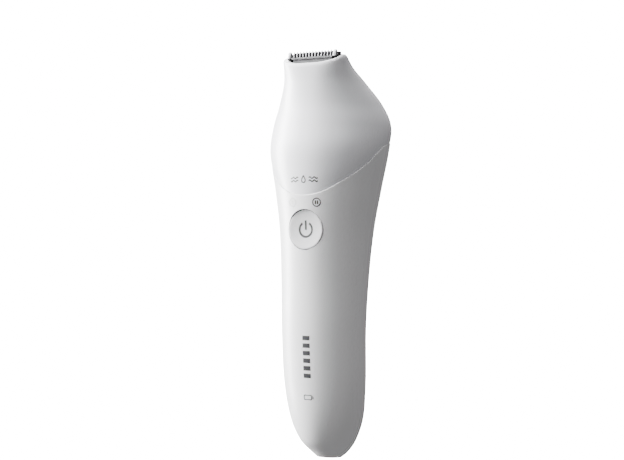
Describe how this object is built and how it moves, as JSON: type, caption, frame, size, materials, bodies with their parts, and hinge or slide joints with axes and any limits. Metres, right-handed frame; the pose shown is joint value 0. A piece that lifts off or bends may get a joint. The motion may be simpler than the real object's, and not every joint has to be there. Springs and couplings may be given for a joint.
{
  "type": "body groomer",
  "caption": "Cordless body groomer: S-shaped white handle with a round power button, and a lift-off head with a toothed steel comb over a reciprocating blade.",
  "frame": {"origin": "under the middle of the body's width and depth, level with the flat end face at the charging socket", "axes": "+Z along the handle from the charging socket to the blade, -Y the front with the power button, X across the comb"},
  "size_m": [0.0536, 0.0456, 0.1735],
  "materials": {
    "shell_white": "satin gloss",
    "head_white": "satin gloss",
    "button_silver": "satin metallic",
    "light_guide": "clear frosted",
    "black_plastic": "fine matt",
    "grey_plastic": "matt",
    "rubber": "matt",
    "steel": "brushed",
    "brass": "polished",
    "copper": "wound copper",
    "board_green": "solder mask",
    "cell_wrap": "plastic wrap",
    "white_acetal": "satin"
  },
  "bodies": {
    "handle": {"front_shell": "shell_white", "rear_shell": "shell_white", "button_seal": "rubber", "speed_light_1": "light_guide", "speed_light_2": "light_guide", "battery_light": "light_guide", "release_spring": "steel", "charging_socket": "black_plastic", "socket_contact_1": "brass", "socket_contact_2": "brass", "control_board": "board_green", "power_switch": "black_plastic", "indicator_led_1": "light_guide", "indicator_led_2": "light_guide", "indicator_led_3": "light_guide", "board_chip_1": "black_plastic", "board_chip_2": "black_plastic", "board_chip_3": "black_plastic", "board_screw_1": "steel", "board_screw_2": "steel", "chassis": "grey_plastic", "battery_cell": "cell_wrap", "battery_tab_1": "steel", "battery_tab_2": "steel", "motor_can": "steel", "motor_end_cap": "white_acetal", "motor_terminal_1": "copper", "motor_terminal_2": "copper", "motor_magnet_1": "black_plastic", "motor_magnet_2": "black_plastic", "gear_plate": "steel", "motor_screw_1": "steel", "motor_screw_2": "steel", "lower_bush": "brass", "upper_bush": "brass", "neck_housing": "grey_plastic", "neck_gasket": "rubber", "spindle_seal": "rubber", "neck_screw_1": "steel", "neck_screw_2": "steel"},
    "power_button": {"power_button": "button_silver"},
    "release_button": {"release_button": "shell_white"},
    "motor_rotor": {"motor_shaft": "steel", "motor_armature": "copper", "motor_pinion": "brass"},
    "crank": {"drive_gear": "white_acetal", "drive_spindle": "steel"},
    "trimmer_head": {"head_housing": "head_white", "head_frame": "grey_plastic", "lever_pin": "steel", "guard_comb": "steel", "blade_holder": "black_plastic", "comb_screw_1": "steel", "comb_screw_2": "steel", "blade_spring": "steel"},
    "lever": {"drive_lever": "white_acetal"},
    "cutter": {"cutter_blade": "steel"}
  },
  "joints": [
    {"name": "power_button_press", "type": "slide", "parent": "handle", "child": "power_button", "axis": [0, 1, 0], "range_m": [0, 0.0005], "stiffness_N_per_m": 3000, "springref_m": -0.0002},
    {"name": "release_button_press", "type": "slide", "parent": "handle", "child": "release_button", "axis": [0, -1, 0], "range_m": [0, 0.0015], "stiffness_N_per_m": 1500, "springref_m": -0.0008},
    {"name": "motor_spin", "type": "hinge", "parent": "handle", "child": "motor_rotor", "pos_m": [0, 0.00192, 0.1125], "axis": [0, 0, 1], "continuous": true},
    {"name": "crank_spin", "type": "hinge", "parent": "handle", "child": "crank", "pos_m": [0, -0.00758, 0.1151], "axis": [0, 0, 1], "continuous": true},
    {"name": "head_pull_off", "type": "slide", "parent": "handle", "child": "trimmer_head", "axis": [0, 0, 1], "range_m": [0, 0.045]},
    {"name": "lever_rock", "type": "hinge", "parent": "trimmer_head", "child": "lever", "pos_m": [0, -0.00758, 0.151], "axis": [0, 1, 0], "range_deg": [-3.58, 3.58]},
    {"name": "cutter_stroke", "type": "slide", "parent": "trimmer_head", "child": "cutter", "axis": [1, 0, 0], "range_m": [-0.00086, 0.00086]}
  ],
  "couplings": [
    {"joint": "crank_spin", "follows": "motor_spin", "ratio": -0.46154},
    {"joint": "cutter_stroke", "follows": "lever_rock", "m_per_rad": 0.0137}
  ]
}
